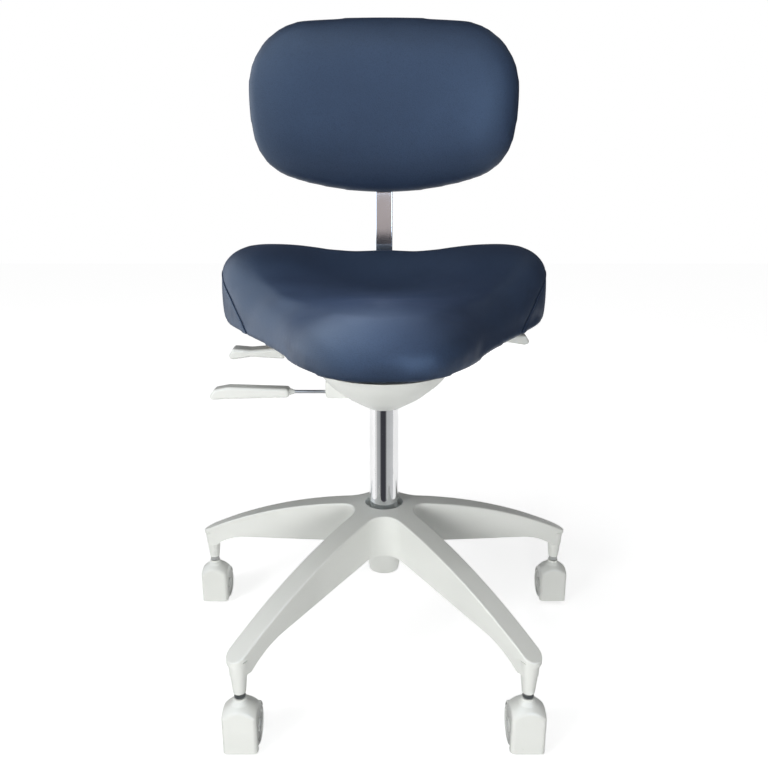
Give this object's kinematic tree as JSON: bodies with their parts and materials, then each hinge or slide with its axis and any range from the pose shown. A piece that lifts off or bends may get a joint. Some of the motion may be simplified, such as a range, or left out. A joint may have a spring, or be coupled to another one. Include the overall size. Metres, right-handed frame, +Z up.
{
  "type": "medical stool",
  "caption": "Height-adjustable medical stool with a padded saddle seat, a small padded backrest, hand levers and a star base on swivel casters.",
  "frame": {"origin": "on the floor, on the axis of the gas-lift column", "axes": "+Z up; the sitter faces -Y, so the backrest is on the +Y side and +X is on the right in the front view"},
  "size_m": [0.5726, 0.5594, 0.8596],
  "materials": {
    "navy_leatherette": "satin",
    "white_moulding": "satin",
    "caster_wheel": "matte",
    "chrome": "polished",
    "steel": "satin",
    "cast_aluminium": "matte",
    "black_plate": "satin",
    "plywood": "matte",
    "black_plastic": "matte",
    "bump_rubber": "matte"
  },
  "bodies": {
    "base": {"base_star": "white_moulding", "caster_stems": "steel", "column_tube": "chrome", "guide_bush": "black_plastic", "lower_bearing_washer": "steel"},
    "spindle": {"piston_rod": "steel", "piston": "cast_aluminium", "thrust_bearing": "steel", "upper_bearing_washer": "steel", "bump_stop": "bump_rubber", "retaining_clip": "steel"},
    "lift": {"pressure_tube": "steel", "rod_guide": "black_plastic", "mechanism_body": "cast_aluminium", "mechanism_pins": "steel", "bowl_cover": "white_moulding", "bowl_screws": "steel"},
    "height_lever": {"height_lever_rod": "steel", "height_lever_grip": "white_moulding"},
    "release": {"release_pin": "steel"},
    "seat": {"seat_plate": "black_plate", "seat_pan": "plywood", "seat_cushion": "navy_leatherette", "seat_bolts": "steel", "seat_pivot_pin": "steel", "lever_pins": "steel"},
    "tilt_lever": {"tilt_lever_rod": "steel", "tilt_lever_grip": "white_moulding"},
    "back_lever": {"back_lever_rod": "steel", "back_lever_grip": "white_moulding"},
    "back_arm": {"back_bar": "chrome", "hinge_block": "black_plate", "hinge_screws": "steel"},
    "carriage": {"back_carriage": "cast_aluminium"},
    "knob": {"clamp_knob": "black_plastic"},
    "backrest": {"back_shell": "black_plastic", "back_cushion": "navy_leatherette", "back_hinge_pin": "steel", "shell_screws": "steel"},
    "caster_rear": {"caster_hood_rear": "white_moulding", "caster_axle_rear": "steel"},
    "wheel_a_rear": {"caster_wheel_a_rear": "caster_wheel"},
    "wheel_b_rear": {"caster_wheel_b_rear": "caster_wheel"},
    "caster_left": {"caster_hood_left": "white_moulding", "caster_axle_left": "steel"},
    "wheel_a_left": {"caster_wheel_a_left": "caster_wheel"},
    "wheel_b_left": {"caster_wheel_b_left": "caster_wheel"},
    "caster_front_left": {"caster_hood_front_left": "white_moulding", "caster_axle_front_left": "steel"},
    "wheel_a_front_left": {"caster_wheel_a_front_left": "caster_wheel"},
    "wheel_b_front_left": {"caster_wheel_b_front_left": "caster_wheel"},
    "caster_front_right": {"caster_hood_front_right": "white_moulding", "caster_axle_front_right": "steel"},
    "wheel_a_front_right": {"caster_wheel_a_front_right": "caster_wheel"},
    "wheel_b_front_right": {"caster_wheel_b_front_right": "caster_wheel"},
    "caster_right": {"caster_hood_right": "white_moulding", "caster_axle_right": "steel"},
    "wheel_a_right": {"caster_wheel_a_right": "caster_wheel"},
    "wheel_b_right": {"caster_wheel_b_right": "caster_wheel"}
  },
  "joints": [
    {"name": "seat_swivel", "type": "hinge", "parent": "base", "child": "spindle", "pos_m": [0, 0, 0.12], "axis": [0, 0, 1], "continuous": true},
    {"name": "height_slide", "type": "slide", "parent": "spindle", "child": "lift", "axis": [0, 0, 1], "range_m": [0, 0.13]},
    {"name": "height_lever_pull", "type": "hinge", "parent": "lift", "child": "height_lever", "pos_m": [-0.04, 0, 0.405], "axis": [0, 1, 0], "range_deg": [0, 6], "stiffness_Nm_per_rad": 2, "springref_deg": -6.88},
    {"name": "release_press", "type": "slide", "parent": "lift", "child": "release", "axis": [0, 0, -1], "range_m": [0, 0.00443]},
    {"name": "seat_tilt", "type": "hinge", "parent": "lift", "child": "seat", "pos_m": [0, -0.03, 0.402], "axis": [1, 0, 0], "range_deg": [-8, 6]},
    {"name": "tilt_lever_pull", "type": "hinge", "parent": "seat", "child": "tilt_lever", "pos_m": [-0.088, 0.05308, 0.4126], "axis": [0, 0.9962, 0.0872], "range_deg": [0, 8], "stiffness_Nm_per_rad": 0.8, "springref_deg": -8.59},
    {"name": "back_lever_pull", "type": "hinge", "parent": "seat", "child": "back_lever", "pos_m": [0.088, 0.12281, 0.4187], "axis": [0, -0.9962, -0.0872], "range_deg": [0, 8], "stiffness_Nm_per_rad": 0.8, "springref_deg": -8.59},
    {"name": "back_recline", "type": "hinge", "parent": "lift", "child": "back_arm", "pos_m": [0, 0.075, 0.404], "axis": [-1, 0, 0], "range_deg": [-4, 14]},
    {"name": "back_height", "type": "slide", "parent": "back_arm", "child": "carriage", "axis": [0, 0, 1], "range_m": [-0.03, 0.04]},
    {"name": "knob_turn", "type": "hinge", "parent": "carriage", "child": "knob", "pos_m": [0, 0.21, 0.7436], "axis": [0, 1, 0], "range_deg": [-180, 0]},
    {"name": "back_tilt", "type": "hinge", "parent": "carriage", "child": "backrest", "pos_m": [0, 0.1812, 0.7436], "axis": [1, 0, 0], "range_deg": [-10, 10]},
    {"name": "swivel_rear", "type": "hinge", "parent": "base", "child": "caster_rear", "pos_m": [0, 0.28, 0.06], "axis": [0, 0, 1], "continuous": true},
    {"name": "roll_a_rear", "type": "hinge", "parent": "caster_rear", "child": "wheel_a_rear", "pos_m": [0, 0.291, 0.0225], "axis": [1, 0, 0], "continuous": true},
    {"name": "roll_b_rear", "type": "hinge", "parent": "caster_rear", "child": "wheel_b_rear", "pos_m": [0, 0.291, 0.0225], "axis": [1, 0, 0], "continuous": true},
    {"name": "swivel_left", "type": "hinge", "parent": "base", "child": "caster_left", "pos_m": [-0.2663, 0.08653, 0.06], "axis": [0, 0, 1], "continuous": true},
    {"name": "roll_a_left", "type": "hinge", "parent": "caster_left", "child": "wheel_a_left", "pos_m": [-0.2663, 0.09753, 0.0225], "axis": [1, 0, 0], "continuous": true},
    {"name": "roll_b_left", "type": "hinge", "parent": "caster_left", "child": "wheel_b_left", "pos_m": [-0.2663, 0.09753, 0.0225], "axis": [1, 0, 0], "continuous": true},
    {"name": "swivel_front_left", "type": "hinge", "parent": "base", "child": "caster_front_left", "pos_m": [-0.16458, -0.22653, 0.06], "axis": [0, 0, 1], "continuous": true},
    {"name": "roll_a_front_left", "type": "hinge", "parent": "caster_front_left", "child": "wheel_a_front_left", "pos_m": [-0.16458, -0.21552, 0.0225], "axis": [1, 0, 0], "continuous": true},
    {"name": "roll_b_front_left", "type": "hinge", "parent": "caster_front_left", "child": "wheel_b_front_left", "pos_m": [-0.16458, -0.21552, 0.0225], "axis": [1, 0, 0], "continuous": true},
    {"name": "swivel_front_right", "type": "hinge", "parent": "base", "child": "caster_front_right", "pos_m": [0.16458, -0.22653, 0.06], "axis": [0, 0, 1], "continuous": true},
    {"name": "roll_a_front_right", "type": "hinge", "parent": "caster_front_right", "child": "wheel_a_front_right", "pos_m": [0.16458, -0.21552, 0.0225], "axis": [1, 0, 0], "continuous": true},
    {"name": "roll_b_front_right", "type": "hinge", "parent": "caster_front_right", "child": "wheel_b_front_right", "pos_m": [0.16458, -0.21552, 0.0225], "axis": [1, 0, 0], "continuous": true},
    {"name": "swivel_right", "type": "hinge", "parent": "base", "child": "caster_right", "pos_m": [0.2663, 0.08653, 0.06], "axis": [0, 0, 1], "continuous": true},
    {"name": "roll_a_right", "type": "hinge", "parent": "caster_right", "child": "wheel_a_right", "pos_m": [0.2663, 0.09753, 0.0225], "axis": [1, 0, 0], "continuous": true},
    {"name": "roll_b_right", "type": "hinge", "parent": "caster_right", "child": "wheel_b_right", "pos_m": [0.2663, 0.09753, 0.0225], "axis": [1, 0, 0], "continuous": true}
  ],
  "couplings": [
    {"joint": "release_press", "follows": "height_lever_pull", "m_per_rad": 0.042}
  ]
}
